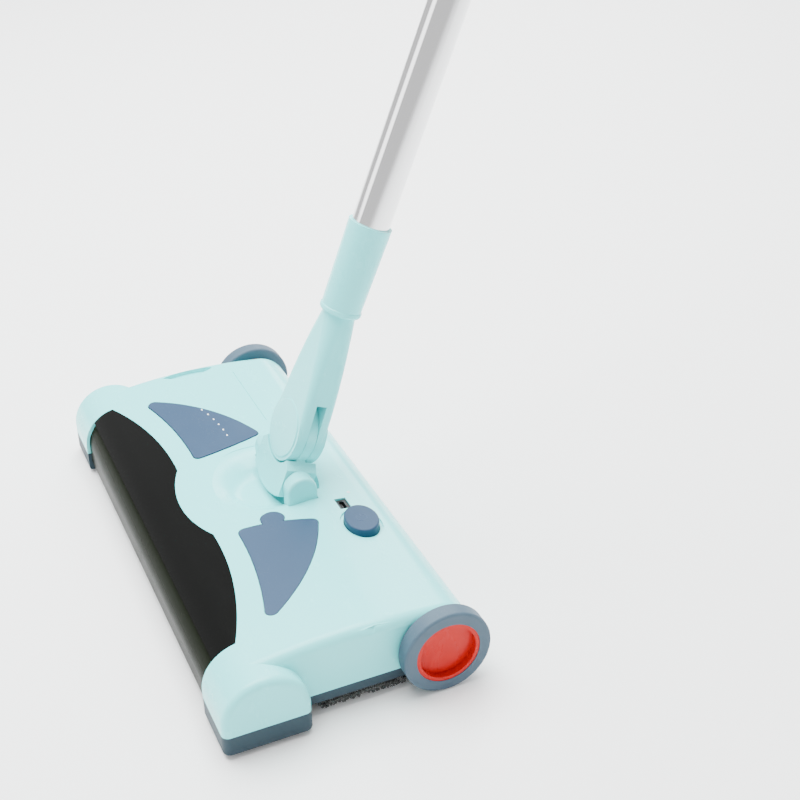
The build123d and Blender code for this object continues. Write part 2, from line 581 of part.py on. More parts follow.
def control_parts():
    cap = slab(oval(), BUTTON_LOW_Z, BUTTON_TOP_Z)
    cap = fillet(cap.faces().sort_by(Axis.Z)[-1].edges(), 1.0)
    keep("power_button", cap + slab(oval(1.6), BUTTON_LOW_Z, BUTTON_LOW_Z + 1.2))
    x, y = BUTTON_X, BUTTON_Y
    board_z = SWITCH_TOP_Z - 4.5
    switch = block(x - 9, x + 9, y - 8, y + 8, board_z - 1.6, board_z)
    switch += block(x - 4, x + 4, y - 4, y + 4, board_z, board_z + 3.2)
    switch += Pos(x, y, (board_z + SWITCH_TOP_Z) / 2) * Cylinder(1.8, SWITCH_TOP_Z - board_z)
    keep("power_switch", switch)
    top = deck_z(PORT_Y1) - 1.0
    socket = block(PORT_X0, PORT_X1, PORT_Y0, PORT_Y1, top - 9.5, top)
    mid_x, mid_y = (PORT_X0 + PORT_X1) / 2, (PORT_Y0 + PORT_Y1) / 2
    socket -= Pos(mid_x, mid_y, top) * slot_hole(8.0, 3.0, 8.0)
    keep("charge_socket", socket + Pos(mid_x, mid_y, top - 5) * Box(6.0, 0.8, 7.0))
    led_top = deck_z(LED_Y) + 0.2
    keep("power_led", Pos(LED_X, LED_Y, led_top - 3) * Cylinder(LED_R, 6))


def slot_hole(length, width, deep):
    """Stadium-shaped pocket."""
    return extrude(SlotOverall(length, width), deep, both=True)


def dust_drawer():
    x0, x1 = -SIDE_HALF_WIDTH, DRAWER_X1
    y0, y1 = DRAWER_Y0 + CLEAR, DRAWER_Y1 - CLEAR
    z0 = FLOOR_Z + CLEAR
    box = block(x0, x1, y0, y1, z0, DRAWER_Z1)
    t = DRAWER_WALL
    box -= block(x0 + 2 * t, x1 - t, y0 + t, y1 - t, z0 + t, DRAWER_Z1 + 1)
    box -= block(x0 + 2 * t, x1 - t, y0 - 1, y0 + t, SPLIT_Z + 0.3, DRAWER_Z1 + 1)
    box += block(x0, x0 + 2 * t, y0, y1, z0, DOOR_Z1)
    return box


def mop_parts():
    pad = block(-PAD_HALF_X, PAD_HALF_X, PAD_Y0, PAD_Y1, 0, PAD_T)
    keep("mop_pad", fillet(pad.edges().filter_by(Axis.Z), 5.0))
    top = PAD_T + HOOK_T
    y_mid = (PAD_Y0 + PAD_Y1) / 2
    strips = [
        block(-PAD_HALF_X + 8, PAD_HALF_X - 8, y_mid + side * 14 - 6, y_mid + side * 14 + 6, PAD_T, top)
        for side in (-1, 1)
    ]
    keep("hook_strips", Compound(children=strips))
    plate = block(-PAD_HALF_X, PAD_HALF_X, PAD_Y0, PAD_Y1, top, BASE_Z)
    keep("mop_plate", fillet(plate.edges().filter_by(Axis.Z), 5.0))


def screws():
    one = Pos(0, 0, BASE_Z + SCREW_HEAD_T / 2) * Cylinder(SCREW_HEAD_R, SCREW_HEAD_T)
    mid = (BASE_Z + SCREW_TIP_Z) / 2
    one += Pos(0, 0, mid) * Cylinder(SCREW_R, SCREW_TIP_Z - BASE_Z)
    one -= Pos(0, 0, BASE_Z) * (Box(3.6, 0.8, 1.2) + Box(0.8, 3.6, 1.2))
    return Compound(children=[Pos(x, SCREW_Y, 0) * one for x in SCREW_X])


# ---- wheels -------------------------------------------------------------
def wheel_parts():
    x0, x1 = HEAD_HALF_WIDTH - WHEEL_W, HEAD_HALF_WIDTH
    tyre = ring_x(x0, x1, AXLE_Y, WHEEL_R, WHEEL_R, HUB_R)
    tyre = fillet(tyre.edges().filter_by(GeomType.CIRCLE).group_by(SortBy.RADIUS)[-1], 1.6)
    rim_r, web_x0, web_x1 = HUB_R - 2.2, x1 - 6.5, x1 - 4.3
    hub = cyl_x(x0 + 0.5, x1 - 0.4, AXLE_Y, WHEEL_R, HUB_R)
    hub -= cyl_x(web_x1, x1 + 1, AXLE_Y, WHEEL_R, rim_r)
    hub -= cyl_x(x0 - 1, web_x0, AXLE_Y, WHEEL_R, rim_r)
    hub += cyl_x(x0 + 0.5, web_x0, AXLE_Y, WHEEL_R, 6.0)
    hub -= cyl_x(x0 - 1, web_x0, AXLE_Y, WHEEL_R, AXLE_R + FIT)
    axle = cyl_x(BOSS_IN_X, web_x0 - CLEAR, AXLE_Y, WHEEL_R, AXLE_R)
    glide = cyl_x(FOOT_X - FOOT_W / 2, FOOT_X + FOOT_W / 2, FOOT_Y, GLIDE_Z, FOOT_R)
    glide = fillet(glide.edges().filter_by(GeomType.CIRCLE), 1.0)
    glide += cyl_x(FOOT_X - FOOT_W / 2 - 2.5, FOOT_X + FOOT_W / 2 + 2.5, FOOT_Y, GLIDE_Z, GLIDE_PIN_R)
    for name, shape in (("tyre", tyre), ("hub", hub), ("axle", axle), ("glide", glide)):
        keep(name + "_right", shape)
        keep(name + "_left", mirror_x(shape))


# ---- swivel and handle --------------------------------------------------
def swivel_yoke():
    yoke = posts(soft=1.8)
    top = PIVOT_Z - POCKET_R - WALL
    x = POST_IN_X + POST_T + 3
    yoke += block(-x, x, PIVOT_Y - 10, PIVOT_Y + 10, top - BRIDGE_T, top)
    return yoke - lower_pin()


def lower_pin():
    half = POST_IN_X + POST_T - 1.5
    return cyl_x(-half, half, PIVOT_Y, PIVOT_Z, PIN_R)


def arc_band(r_in, r_out, half_deg, y0, y1):
    """Band round the upper pivot, centred straight below it, in the neck frame."""
    ring = cyl_y(0, 0, r_out, y0, y1) - cyl_y(0, 0, r_in, y0 - 1, y1 + 1)
    side = 3 * r_out
    half = Pos(0, 0, -side / 2) * Box(side, 60, side)
    turn = 90 - half_deg
    return ring & (Rot(0, turn, 0) * half) & (Rot(0, -turn, 0) * half)


def knuckle():
    gap = SLOT_HALF - 0.3
    body = arc_band(KNUCKLE_IN_R, KNUCKLE_R, KNUCKLE_HALF_DEG, -KNUCKLE_HALF_Y, KNUCKLE_HALF_Y)
    body &= Box(2 * (POST_IN_X - CLEAR), 60, 120)
    rims = [e for e in body.edges().filter_by(GeomType.CIRCLE) if abs(e.radius - KNUCKLE_R) < 0.1]
    body = fillet(rims, 1.5)
    body += cyl_y(0, 0, EAR_R, -gap, gap)
    body += arc_band(EAR_R - 4, KNUCKLE_IN_R + 3, KNUCKLE_HALF_DEG, -gap, gap)
    body -= cyl_y(0, 0, PIN_R + FIT, -20, 20)
    body -= Pos(0, 0, -LINK) * Rot(0, 90, 0) * Cylinder(PIN_R + FIT, 120)
    return body


def neck_fork():
    ear = cyl_y(0, 0, EAR_R, -EAR_HALF, EAR_HALF)
    sharp = 3.4
    low = RectangleRounded(2 * EAR_R, 2 * EAR_HALF, sharp)
    mid = RectangleRounded(1.62 * EAR_R, 2 * EAR_HALF + 0.6, sharp + 1.4)
    top = RectangleRounded(2 * NECK_TOP_R - 0.4, 2 * NECK_TOP_R - 0.4, NECK_TOP_R - 0.3)
    stem = loft([Pos(0, 0, 2) * low, Pos(0, 0, COLLAR_Z / 2) * mid, Pos(0, 0, COLLAR_Z) * top])
    body = ear + stem + up_tube(COLLAR_Z, NECK_TOP, NECK_TOP_R)
    body -= Box(90, 2 * SLOT_HALF, 2 * (EAR_R + 4.6))
    body -= cyl_y(0, 0, BOSS_R, -20, -BOSS_SEAT) + cyl_y(0, 0, BOSS_R, BOSS_SEAT, 20)
    return body - cyl_y(0, 0, PIN_R, -20, 20)


def handle_parts():
    keep("neck_fork", NECK * neck_fork())
    keep("upper_pivot_pin", NECK * cyl_y(0, 0, PIN_R, -BOSS_SEAT, BOSS_SEAT))
    cap = cyl_y(0, 0, BOSS_R, -BOSS_SEAT - BOSS_T, -BOSS_SEAT)
    cap = fillet(cap.edges().sort_by(Axis.Y)[0], 1.0)
    keep("boss_cap_front", NECK * cap)
    keep("boss_cap_rear", NECK * mirror(cap, Plane.XZ))
    z0, z1 = COLLAR_Z, COLLAR_Z + COLLAR_L
    collar = Pos(0, 0, (z0 + z1) / 2) * Cone(COLLAR_LOW_R, COLLAR_R, COLLAR_L)
    bead = up_tube(z0, z0 + 3.4, COLLAR_BEAD_R)
    collar += fillet(bead.edges().filter_by(GeomType.CIRCLE), 1.2)
    collar -= up_tube(z0 - 1, NECK_TOP, NECK_TOP_R) + up_tube(NECK_TOP, TUBE_Z, TUBE_R - 2)
    collar -= up_tube(TUBE_Z, z1 + 1, TUBE_R)
    keep("collar", NECK * collar)
    tube_top = TUBE_Z + TUBE_L
    keep("lower_tube", NECK * up_tube(TUBE_Z, tube_top, TUBE_R, TUBE_R - TUBE_T))
    lock_z0 = tube_top - LOCK_L / 2
    lock = up_tube(lock_z0, lock_z0 + LOCK_L, LOCK_R) + up_tube(lock_z0, lock_z0 + 4, LOCK_R + 0.8)
    lock = fillet(lock.faces().sort_by(Axis.Z)[-1].edges(), 2.0)
    lock -= up_tube(lock_z0 - 1, tube_top, TUBE_R) + up_tube(tube_top, lock_z0 + LOCK_L + 1, INNER_R + FIT)
    keep("lock_sleeve", NECK * lock)
    inner_z0 = tube_top - OVERLAP
    inner_z1 = inner_z0 + INNER_L
    keep("upper_tube", NECK * up_tube(inner_z0, inner_z1, INNER_R, INNER_R - INNER_T))
    keep("tube_bush", NECK * up_tube(inner_z0, inner_z0 + TUBE_BUSH_L, TUBE_R - TUBE_T - FIT, INNER_R))
    top = inner_z1 + GRIP_OVER
    grip = up_tube(top - GRIP_L, top, GRIP_R)
    grip = fillet(grip.faces().filter_by(GeomType.PLANE).edges(), 3.0)
    grip -= up_tube(top - GRIP_L - 1, inner_z1, INNER_R) + up_tube(inner_z1, top + 1, PLUG_R)
    keep("grip", NECK * grip)
    ring_z = top + LOOP_R
    loop = Pos(0, 0, ring_z) * Rot(90, 0, 0) * Cylinder(LOOP_R, LOOP_T)
    loop += Pos(0, 0, top + LOOP_R / 2) * Box(2 * LOOP_R, LOOP_T, LOOP_R)
    loop -= Pos(0, 0, ring_z + 1) * Rot(90, 0, 0) * Cylinder(LOOP_HOLE_R, 2 * LOOP_T)
    keep("hang_cap", NECK * (loop + up_tube(inner_z1, top, PLUG_R)))


def build():
    keep("upper_shell", upper_shell())
    keep("base_tray", base_tray())
    front_parts()
    panel_parts()
    control_parts()
    keep("dust_drawer", dust_drawer())
    brush_parts()
    drive_parts()
    mop_parts()
    wheel_parts()
    keep("base_screws", screws())
    keep("swivel_yoke", swivel_yoke())
    keep("lower_pivot_pin", lower_pin())
    keep("knuckle", NECK * knuckle())
    handle_parts()
    for name, shape in NODES.items():
        export_step(shape, "parts/" + name + ".step")


build()
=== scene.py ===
import json
import math
import random

import bmesh
import bpy
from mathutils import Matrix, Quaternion, Vector


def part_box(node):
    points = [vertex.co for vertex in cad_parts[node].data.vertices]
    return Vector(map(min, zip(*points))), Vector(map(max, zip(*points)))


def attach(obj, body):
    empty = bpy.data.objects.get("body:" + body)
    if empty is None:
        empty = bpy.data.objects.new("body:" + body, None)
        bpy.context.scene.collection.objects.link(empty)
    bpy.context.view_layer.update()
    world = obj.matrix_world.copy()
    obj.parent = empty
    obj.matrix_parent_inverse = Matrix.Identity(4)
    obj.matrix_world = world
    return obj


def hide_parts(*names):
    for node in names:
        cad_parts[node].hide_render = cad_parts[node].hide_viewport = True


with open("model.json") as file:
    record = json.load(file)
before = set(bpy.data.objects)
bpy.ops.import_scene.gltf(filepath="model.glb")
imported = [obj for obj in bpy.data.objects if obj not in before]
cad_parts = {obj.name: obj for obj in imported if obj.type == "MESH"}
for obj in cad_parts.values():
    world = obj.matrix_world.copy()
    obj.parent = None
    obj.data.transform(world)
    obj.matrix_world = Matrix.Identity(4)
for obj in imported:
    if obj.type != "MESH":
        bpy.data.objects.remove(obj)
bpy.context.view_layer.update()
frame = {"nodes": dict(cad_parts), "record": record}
nodes = frame["nodes"]
random.seed(11)
print("frame loaded,", len(nodes), "nodes")

# where the picture is taken from, metres
camera = {
    "place": (0.6625, -0.1949, 0.5185), "target": (-0.0041, 0.0946, 0.0775),
    "lens": 63.24, "tilt": -1.24, "sensor": 36.0, "clip": (0.01, 50.0),
}
studio = {
    "floor": (0.985, 0.985, 0.985), "floorHalf": 6.0, "paperRoughness": 0.75,
    "world": (1.0, 1.0, 1.0), "worldStrength": 1.0,
    "lamps": {
        "overhead": {
            "place": (-0.5, -0.1, 1.9), "aim": (0, 0, 0), "size": (1.8, 1.8), "power": 150, "tint": (0.97, 1.0, 1.0)},
        "frontFill": {
            "place": (-0.7, -1.8, 0.8), "aim": (0, 0, 0.05), "size": (1.0, 0.8), "power": 8, "tint": (1, 1, 1)},
        "rearStrip": {
            "place": (-1.4, 1.0, 1.2), "aim": (0, 0.1, 0.2), "size": (0.5, 1.8), "power": 26, "tint": (1, 1, 1)},
    },
}


def link(tree, a, b):
    tree.links.new(a, b)


def placeCamera():
    data = bpy.data.cameras.new("camera")
    data.lens = camera["lens"]
    data.sensor_width = camera["sensor"]
    data.clip_start, data.clip_end = camera["clip"]
    eye = bpy.data.objects.new("camera", data)
    bpy.context.scene.collection.objects.link(eye)
    eye.location = camera["place"]
    way = Vector(camera["target"]) - Vector(camera["place"])
    tilt = Quaternion((0, 0, 1), math.radians(camera["tilt"]))
    eye.rotation_euler = (way.to_track_quat("-Z", "Y") @ tilt).to_euler()
    bpy.context.scene.camera = eye


def softLight(name, lampSet):
    data = bpy.data.lights.new(name, "AREA")
    data.shape = "RECTANGLE"
    data.size, data.size_y = lampSet["size"]
    data.energy = lampSet["power"]
    data.color = lampSet["tint"]
    lamp = bpy.data.objects.new(name, data)
    bpy.context.scene.collection.objects.link(lamp)
    lamp.location = lampSet["place"]
    way = Vector(lampSet["aim"]) - Vector(lampSet["place"])
    lamp.rotation_euler = way.to_track_quat("-Z", "Y").to_euler()


def setStage():
    world = bpy.data.worlds.new("studio")
    world.use_nodes = True
    back = world.node_tree.nodes["Background"]
    back.inputs["Color"].default_value = (*studio["world"], 1)
    back.inputs["Strength"].default_value = studio["worldStrength"]
    bpy.context.scene.world = world
    for name, lampSet in studio["lamps"].items():
        softLight(name, lampSet)
    side = studio["floorHalf"]
    corners = [(-side, -side, 0), (side, -side, 0), (side, side, 0), (-side, side, 0)]
    stagePlane("floor", corners, studio["floor"])


def stagePlane(name, corners, colour):
    mesh = bpy.data.meshes.new(name)
    mesh.from_pydata(corners, [], [(0, 1, 2, 3)])
    plane = bpy.data.objects.new(name, mesh)
    bpy.context.scene.collection.objects.link(plane)
    paint = bpy.data.materials.new(name + "Paper")
    paint.use_nodes = True
    shader = paint.node_tree.nodes["Principled BSDF"]
    shader.inputs["Base Color"].default_value = (*colour, 1)
    shader.inputs["Roughness"].default_value = studio["paperRoughness"]
    mesh.materials.append(paint)


placeCamera()
setStage()
print("camera and studio set")


# shader groups, each outputs only what varies over a surface
def newGroup(name, inputs, outputs):
    tree = bpy.data.node_groups.new(name, "ShaderNodeTree")
    for label, kind, value in inputs:
        socket = tree.interface.new_socket(label, in_out="INPUT", socket_type="NodeSocket" + kind)
        socket.default_value = value
    for label, kind in outputs:
        tree.interface.new_socket(label, in_out="OUTPUT", socket_type="NodeSocket" + kind)
    return tree, tree.nodes.new("NodeGroupInput"), tree.nodes.new("NodeGroupOutput")


def noiseNode(tree, vector, scale, detail=3.0, rough=0.5):
    node = tree.nodes.new("ShaderNodeTexNoise")
    node.inputs["Detail"].default_value = detail
    node.inputs["Roughness"].default_value = rough
    link(tree, vector, node.inputs["Vector"])
    if isinstance(scale, (int, float)):
        node.inputs["Scale"].default_value = scale
    else:
        link(tree, scale, node.inputs["Scale"])
    return node.outputs["Fac"]


def calc(tree, kind, a, b):
    node = tree.nodes.new("ShaderNodeMath")
    node.operation = kind
    for socket, value in zip(node.inputs, (a, b)):
        if isinstance(value, (int, float)):
            socket.default_value = value
        else:
            link(tree, value, socket)
    return node.outputs[0]


def remap(tree, value, low, high, toLow, toHigh):
    node = tree.nodes.new("ShaderNodeMapRange")
    for label, v in (("From Min", low), ("From Max", high), ("To Min", toLow), ("To Max", toHigh)):
        if isinstance(v, (int, float)):
            node.inputs[label].default_value = v
        else:
            link(tree, v, node.inputs[label])
    link(tree, value, node.inputs["Value"])
    return node.outputs["Result"]


def tinted(tree, fac, colourA, colourB, kind="MIX"):
    node = tree.nodes.new("ShaderNodeMix")
    node.data_type = "RGBA"
    node.blend_type = kind
    for label, value in ((0, fac), (6, colourA), (7, colourB)):
        if isinstance(value, (int, float)):
            node.inputs[label].default_value = value
        elif isinstance(value, tuple):
            node.inputs[label].default_value = value
        else:
            link(tree, value, node.inputs[label])
    return node.outputs[2]


def stretched(tree, vector, scale):
    node = tree.nodes.new("ShaderNodeMapping")
    node.inputs["Scale"].default_value = scale
    link(tree, vector, node.inputs["Vector"])
    return node.outputs["Vector"]


def mouldedGroup():
    tree, start, end = newGroup(
        "mouldedSkin",
        [("Colour", "Color", (0.8, 0.8, 0.8, 1)), ("Roughness", "Float", 0.3), ("Grain Scale", "Float", 900.0),
         ("Mottle", "Float", 0.05), ("Smudge", "Float", 0.08)],
        [("Colour", "Color"), ("Roughness", "Float"), ("Height", "Float")],
    )
    spot = tree.nodes.new("ShaderNodeTexCoord").outputs["Object"]
    broad = noiseNode(tree, spot, 14.0, 4.0)
    uneven = calc(tree, "MULTIPLY", calc(tree, "SUBTRACT", broad, 0.5), start.outputs["Mottle"])
    shade = calc(tree, "ADD", uneven, 1.0)
    joined = tree.nodes.new("ShaderNodeCombineColor")
    for socket in joined.inputs[:3]:
        link(tree, shade, socket)
    link(tree, tinted(tree, 1.0, start.outputs["Colour"], joined.outputs[0], "MULTIPLY"), end.inputs["Colour"])
    smear = noiseNode(tree, stretched(tree, spot, (1.0, 2.4, 1.0)), 38.0, 6.0, 0.62)
    lift = calc(tree, "MULTIPLY", remap(tree, smear, 0.45, 0.72, 0.0, 1.0), start.outputs["Smudge"])
    link(tree, calc(tree, "ADD", start.outputs["Roughness"], lift), end.inputs["Roughness"])
    fine = noiseNode(tree, spot, start.outputs["Grain Scale"], 2.0)
    link(tree, fine, end.inputs["Height"])
    return tree


def dustGroup():
    tree, start, end = newGroup(
        "settledDust",
        [("Amount", "Float", 0.1), ("Speck Scale", "Float", 1400.0)],
        [("Mask", "Float")],
    )
    spot = tree.nodes.new("ShaderNodeTexCoord").outputs["Object"]
    facing = tree.nodes.new("ShaderNodeSeparateXYZ")
    link(tree, tree.nodes.new("ShaderNodeNewGeometry").outputs["Normal"], facing.inputs[0])
    up = remap(tree, facing.outputs["Z"], 0.2, 1.0, 0.0, 1.0)
    speck = remap(tree, noiseNode(tree, spot, start.outputs["Speck Scale"], 1.0), 0.66, 0.78, 0.0, 1.0)
    patch = remap(tree, noiseNode(tree, spot, 22.0, 3.0), 0.4, 0.75, 0.15, 1.0)
    settled = calc(tree, "MULTIPLY", up, speck)
    spread = calc(tree, "MULTIPLY", patch, start.outputs["Amount"])
    link(tree, calc(tree, "MULTIPLY", settled, spread), end.inputs["Mask"])
    return tree


def scratchGroup():
    tree, start, end = newGroup(
        "fineScratches",
        [("Amount", "Float", 0.1), ("Scale", "Float", 60.0)],
        [("Roughness Lift", "Float")],
    )
    spot = tree.nodes.new("ShaderNodeTexCoord").outputs["Object"]
    total = None
    for way in ((18.0, 0.6, 1.0), (0.7, 16.0, 1.4), (9.0, 11.0, 0.5)):
        lines = noiseNode(tree, stretched(tree, spot, way), start.outputs["Scale"], 5.0, 0.7)
        streak = remap(tree, lines, 0.66, 0.70, 0.0, 1.0)
        total = streak if total is None else calc(tree, "MAXIMUM", total, streak)
    link(tree, calc(tree, "MULTIPLY", total, start.outputs["Amount"]), end.inputs["Roughness Lift"])
    return tree


def brushedGroup():
    tree, start, end = newGroup(
        "brushedGrain",
        [("Colour", "Color", (0.6, 0.6, 0.6, 1)), ("Roughness", "Float", 0.25), ("Depth", "Float", 0.1)],
        [("Colour", "Color"), ("Roughness", "Float"), ("Height", "Float")],
    )
    spot = tree.nodes.new("ShaderNodeTexCoord").outputs["Object"]
    grain = noiseNode(tree, stretched(tree, spot, (1.0, 40.0, 40.0)), 120.0, 3.0)
    uneven = calc(tree, "MULTIPLY", grain, start.outputs["Depth"])
    link(tree, calc(tree, "ADD", start.outputs["Roughness"], uneven), end.inputs["Roughness"])
    darker = tinted(tree, remap(tree, grain, 0.3, 0.7, 0.0, 0.25), start.outputs["Colour"], (0.3, 0.3, 0.31, 1))
    link(tree, darker, end.inputs["Colour"])
    link(tree, grain, end.inputs["Height"])
    return tree


def fibreGroup():
    tree, start, end = newGroup(
        "fibrePile",
        [("Colour", "Color", (0.2, 0.2, 0.2, 1)), ("Tip Glint Colour", "Color", (0.5, 0.5, 0.5, 1)),
         ("Strand Scale", "Float", 1500.0)],
        [("Colour", "Color"), ("Roughness", "Float"), ("Height", "Float")],
    )
    spot = tree.nodes.new("ShaderNodeTexCoord").outputs["Object"]
    cells = tree.nodes.new("ShaderNodeTexVoronoi")
    link(tree, spot, cells.inputs["Vector"])
    link(tree, start.outputs["Strand Scale"], cells.inputs["Scale"])
    # painted glints: spots near each cell centre take the lighter tip colour, standing in for light caught on the
    # fibre tips; the same spots raise the bump
    tips = remap(tree, cells.outputs["Distance"], 0.1, 0.55, 1.0, 0.0)
    broad = noiseNode(tree, spot, 160.0, 4.0)
    glintFac = calc(tree, "MULTIPLY", tips, remap(tree, broad, 0.3, 0.7, 0.2, 1.0))
    link(tree, tinted(tree, glintFac, start.outputs["Colour"], start.outputs["Tip Glint Colour"]), end.inputs["Colour"])
    link(tree, remap(tree, broad, 0.0, 1.0, 0.75, 0.98), end.inputs["Roughness"])
    link(tree, tips, end.inputs["Height"])
    return tree


moulded = mouldedGroup()
dust = dustGroup()
scratches = scratchGroup()
brushed = brushedGroup()
fibre = fibreGroup()


def useGroup(tree, group, values):
    node = tree.nodes.new("ShaderNodeGroup")
    node.node_tree = group
    for label, value in values.items():
        node.inputs[label].default_value = (*value, 1) if isinstance(value, tuple) else value
    return node


def bump(tree, shader, height, distance, strength=0.5):
    node = tree.nodes.new("ShaderNodeBump")
    node.inputs["Distance"].default_value = distance
    node.inputs["Strength"].default_value = strength
    link(tree, height, node.inputs["Height"])
    link(tree, node.outputs["Normal"], shader.inputs["Normal"])


def newPaint(name):
    paint = bpy.data.materials.new(name)
    paint.use_nodes = True
    return paint, paint.node_tree, paint.node_tree.nodes["Principled BSDF"]


dustColour = (0.62, 0.60, 0.56, 1)
glowDepth = 0.004  # how far light travels inside the plastic, metres


def plastic(name, look):
    paint, tree, shader = newPaint(name)
    skin = useGroup(tree, moulded, {
        "Colour": look["colour"], "Roughness": look["roughness"], "Grain Scale": look.get("grain", 900.0),
        "Mottle": look.get("mottle", 0.04), "Smudge": look.get("smudge", 0.06)})
    specks = useGroup(tree, dust, {"Amount": look.get("dust", 0.12)})
    marks = useGroup(tree, scratches, {"Amount": look.get("scratch", 0.05)})
    dusty = tinted(tree, specks.outputs["Mask"], skin.outputs["Colour"], dustColour)
    link(tree, dusty, shader.inputs["Base Color"])
    worn = calc(tree, "ADD", skin.outputs["Roughness"], marks.outputs["Roughness Lift"])
    link(tree, worn, shader.inputs["Roughness"])
    shader.inputs["Coat Weight"].default_value = look.get("coat", 0.0)
    shader.inputs["Specular IOR Level"].default_value = look.get("gleam", 0.5)
    shader.inputs["IOR"].default_value = look.get("ior", 1.45)
    shader.inputs["Coat Roughness"].default_value = 0.06
    shader.inputs["Subsurface Weight"].default_value = look.get("glow", 0.0)
    shader.inputs["Subsurface Radius"].default_value = (glowDepth, glowDepth, glowDepth)
    bump(tree, shader, skin.outputs["Height"], look.get("bump", 0.00004))
    return paint


def metal(name, look):
    paint, tree, shader = newPaint(name)
    shader.inputs["Metallic"].default_value = 1.0
    grain = useGroup(tree, brushed, {
        "Colour": look["colour"], "Roughness": look["roughness"], "Depth": look["depth"]})
    marks = useGroup(tree, scratches, {"Amount": look.get("scratch", 0.08)})
    link(tree, grain.outputs["Colour"], shader.inputs["Base Color"])
    worn = calc(tree, "ADD", grain.outputs["Roughness"], marks.outputs["Roughness Lift"])
    link(tree, worn, shader.inputs["Roughness"])
    bump(tree, shader, grain.outputs["Height"], look["bump"], 0.4)
    return paint


def textile(name, look):
    paint, tree, shader = newPaint(name)
    pile = useGroup(tree, fibre, {
        "Colour": look["colour"], "Tip Glint Colour": look["tip"], "Strand Scale": look["strands"]})
    link(tree, pile.outputs["Colour"], shader.inputs["Base Color"])
    link(tree, pile.outputs["Roughness"], shader.inputs["Roughness"])
    shader.inputs["Sheen Weight"].default_value = look.get("sheen", 0.3)
    bump(tree, shader, pile.outputs["Height"], look["bump"], 0.8)
    return paint


finishes = {
    "shell": plastic("mintGloss", {
        "colour": (0.185, 0.790, 0.800), "roughness": 0.24, "coat": 0.12, "gleam": 0.35, "glow": 0.04}),
    "slate": plastic("slateSatin", {
        "colour": (0.026, 0.058, 0.112), "roughness": 0.38, "gleam": 0.22, "smudge": 0.1,
        "grain": 1600.0}),
    "window": plastic("blackGloss", {
        "colour": (0.0024, 0.0026, 0.0024), "roughness": 0.10, "ior": 1.22, "smudge": 0.04,
        "mottle": 0.3, "dust": 0.015}),
    "guard": plastic("smokedGloss", {
        "colour": (0.0080, 0.0100, 0.0060), "roughness": 0.24, "ior": 1.06, "smudge": 0.05,
        "dust": 0.02}),
    "light": plastic("lightPipe", {
        "colour": (0.86, 0.89, 0.92), "roughness": 0.25, "glow": 0.2}),
    "black": plastic("blackMatt", {
        "colour": (0.016, 0.016, 0.018), "roughness": 0.5}),
    "tray": plastic("trayGrey", {
        "colour": (0.16, 0.19, 0.21), "roughness": 0.45}),
    "steel": metal("turnedSteel", {
        "colour": (0.55, 0.55, 0.56), "roughness": 0.24, "depth": 0.2, "bump": 0.00002}),
    "board": plastic("boardGreen", {
        "colour": (0.010, 0.085, 0.035), "roughness": 0.4}),
    "belt": plastic("beltRubber", {
        "colour": (0.012, 0.012, 0.012), "roughness": 0.7, "grain": 2200.0, "bump": 0.0001}),
    "bristle": plastic("nylon", {
        "colour": (0.03, 0.03, 0.035), "roughness": 0.42}),
    # hookTape and microfibre: the tip colour is a painted glint on the fibre tips, lighter than the charcoal pile
    "hook": textile("hookTape", {
        "colour": (0.015, 0.015, 0.015), "tip": (0.06, 0.06, 0.06), "strands": 1800.0, "bump": 0.0003}),
    "pad": textile("microfibre", {
        "colour": (0.060, 0.066, 0.064), "tip": (0.60, 0.64, 0.62), "strands": 1500.0, "bump": 0.0006,
        "sheen": 0.15}),
    "tyre": plastic("tyreRubber", {
        "colour": (0.060, 0.100, 0.140), "roughness": 0.5, "gleam": 0.3, "grain": 1800.0,
        "bump": 0.00006, "smudge": 0.15}),
    "hub": plastic("redGloss", {
        "colour": (0.480, 0.008, 0.006), "roughness": 0.26, "ior": 1.25, "dust": 0.04}),
    "chrome": metal("chromePlate", {
        "colour": (0.88, 0.88, 0.89), "roughness": 0.10, "depth": 0.04, "bump": 0.000004,
        "scratch": 0.05}),
    "inner": metal("satinAlloy", {
        "colour": (0.72, 0.72, 0.73), "roughness": 0.16, "depth": 0.08, "bump": 0.00001}),
    "foot": plastic("slateRubber", {
        "colour": (0.024, 0.046, 0.062), "roughness": 0.5, "gleam": 0.22, "smudge": 0.12,
        "grain": 2000.0}),
    "grip": plastic("gripSatin", {
        "colour": (0.034, 0.068, 0.130), "roughness": 0.5, "gleam": 0.25, "grain": 2400.0,
        "bump": 0.00012}),
}

ownFinish = {"base_tray": "foot"}

slotOf = {row["node"]: row["material_slot"] for row in frame["record"]["subparts"]}
for name, node in nodes.items():
    node.data.materials.clear()
    node.data.materials.append(finishes[ownFinish.get(name, slotOf[name])])
print("finishes on every node")


cadShaping = {"bevel": 0.00035, "angle": 32}
unbevelled = ("brush_bristles", "hook_strips")


def shapeNode(node):
    for face in node.data.polygons:
        face.use_smooth = True
    if node.name in unbevelled:
        return
    soft = node.modifiers.new("edges", "BEVEL")
    soft.width = cadShaping["bevel"]
    soft.segments = 2
    soft.limit_method = "ANGLE"
    soft.angle_limit = math.radians(cadShaping["angle"])
    soft.harden_normals = True
    soft.use_clamp_overlap = True


for node in nodes.values():
    shapeNode(node)


def addMesh(name, points, faces, slot, body):
    mesh = bpy.data.meshes.new(name)
    mesh.from_pydata(points, [], faces)
    mesh.materials.append(finishes[slot])
    piece = bpy.data.objects.new(name, mesh)
    bpy.context.scene.collection.objects.link(piece)
    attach(piece, body)
    return piece


bristles = {
    "rows": 4, "tuftsPerRow": 96, "hairs": 9, "hair": 0.00016, "tuft": 0.0012, "splay": 0.0011, "lean": 0.4,
    "twist": 0.9, "rootR": 0.0088, "tipR": 0.0191, "uneven": 0.0006, "endGap": 0.004, "tipWidth": 0.6,
}


